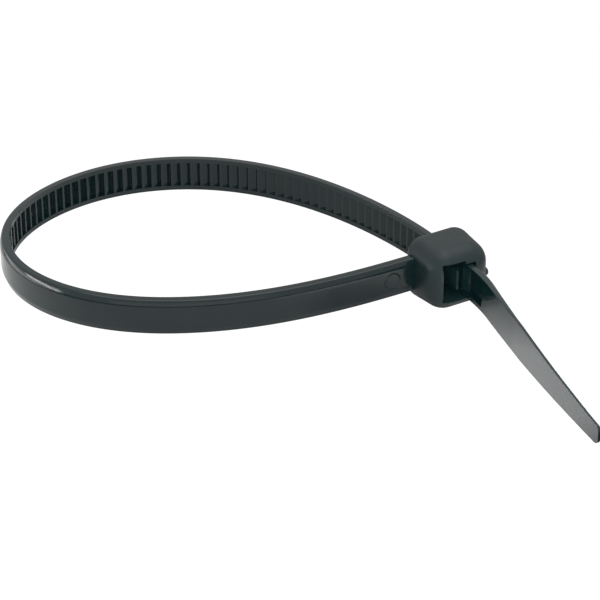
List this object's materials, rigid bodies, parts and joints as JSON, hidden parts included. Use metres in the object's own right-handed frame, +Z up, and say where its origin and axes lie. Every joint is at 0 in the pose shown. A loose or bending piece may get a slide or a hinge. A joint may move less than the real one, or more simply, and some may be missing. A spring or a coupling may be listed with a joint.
{
  "type": "cable tie",
  "caption": "Black nylon cable tie closed into an oval loop, its tapered tail pulled through the ratchet head.",
  "frame": {"origin": "middle of the loop, at the level of the head's underside", "axes": "the loop lies flat in XY; +X runs from the loop's middle to the head's end, +Y to the back strand, +Z up across the strap's width"},
  "size_m": [0.0746, 0.0672, 0.0086],
  "materials": {
    "nylon": "satin"
  },
  "bodies": {
    "root": {"cable_tie": "nylon"}
  },
  "joints": []
}
